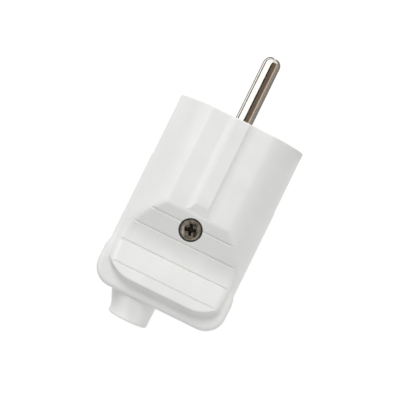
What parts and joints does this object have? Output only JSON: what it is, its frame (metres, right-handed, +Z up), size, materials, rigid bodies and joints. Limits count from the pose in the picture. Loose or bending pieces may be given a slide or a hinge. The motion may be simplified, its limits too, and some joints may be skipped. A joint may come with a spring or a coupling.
{
  "type": "type f plug",
  "caption": "Rewirable mains plug lying on its side: round pins, side earthing contacts, grooved finger hollows, a cross-recess closing screw and an offset cord collar.",
  "frame": {"origin": "centre of the engagement face, on the axis between the pins", "axes": "-Y along the pins, out of the face; +Y along the body to the cord collar; +Z up, the side with the screw's head; +X towards the side that the collar is offset to"},
  "size_m": [0.0376, 0.08, 0.034],
  "materials": {
    "shell_plastic": "white, satin, moulded",
    "carrier_plastic": "off-white, moulded",
    "pin_nickel": "nickel plated, polished",
    "screw_zinc": "zinc plated",
    "strap_brass": "bare, rolled",
    "grip_plastic": "grey, moulded",
    "screw_dark": "dark nickel plated"
  },
  "bodies": {
    "root": {"upper_shell": "shell_plastic", "lower_shell": "shell_plastic", "pin_carrier": "carrier_plastic", "upper_pin": "pin_nickel", "lower_pin": "pin_nickel", "upper_terminal_screw": "screw_zinc", "lower_terminal_screw": "screw_zinc", "earth_strap": "strap_brass", "earth_clamp_plate": "screw_zinc", "earth_screw": "screw_zinc", "cord_grip": "grip_plastic", "cord_grip_screw_left": "screw_zinc", "cord_grip_screw_right": "screw_zinc", "assembly_screw": "screw_dark", "assembly_nut": "screw_zinc"}
  },
  "joints": []
}
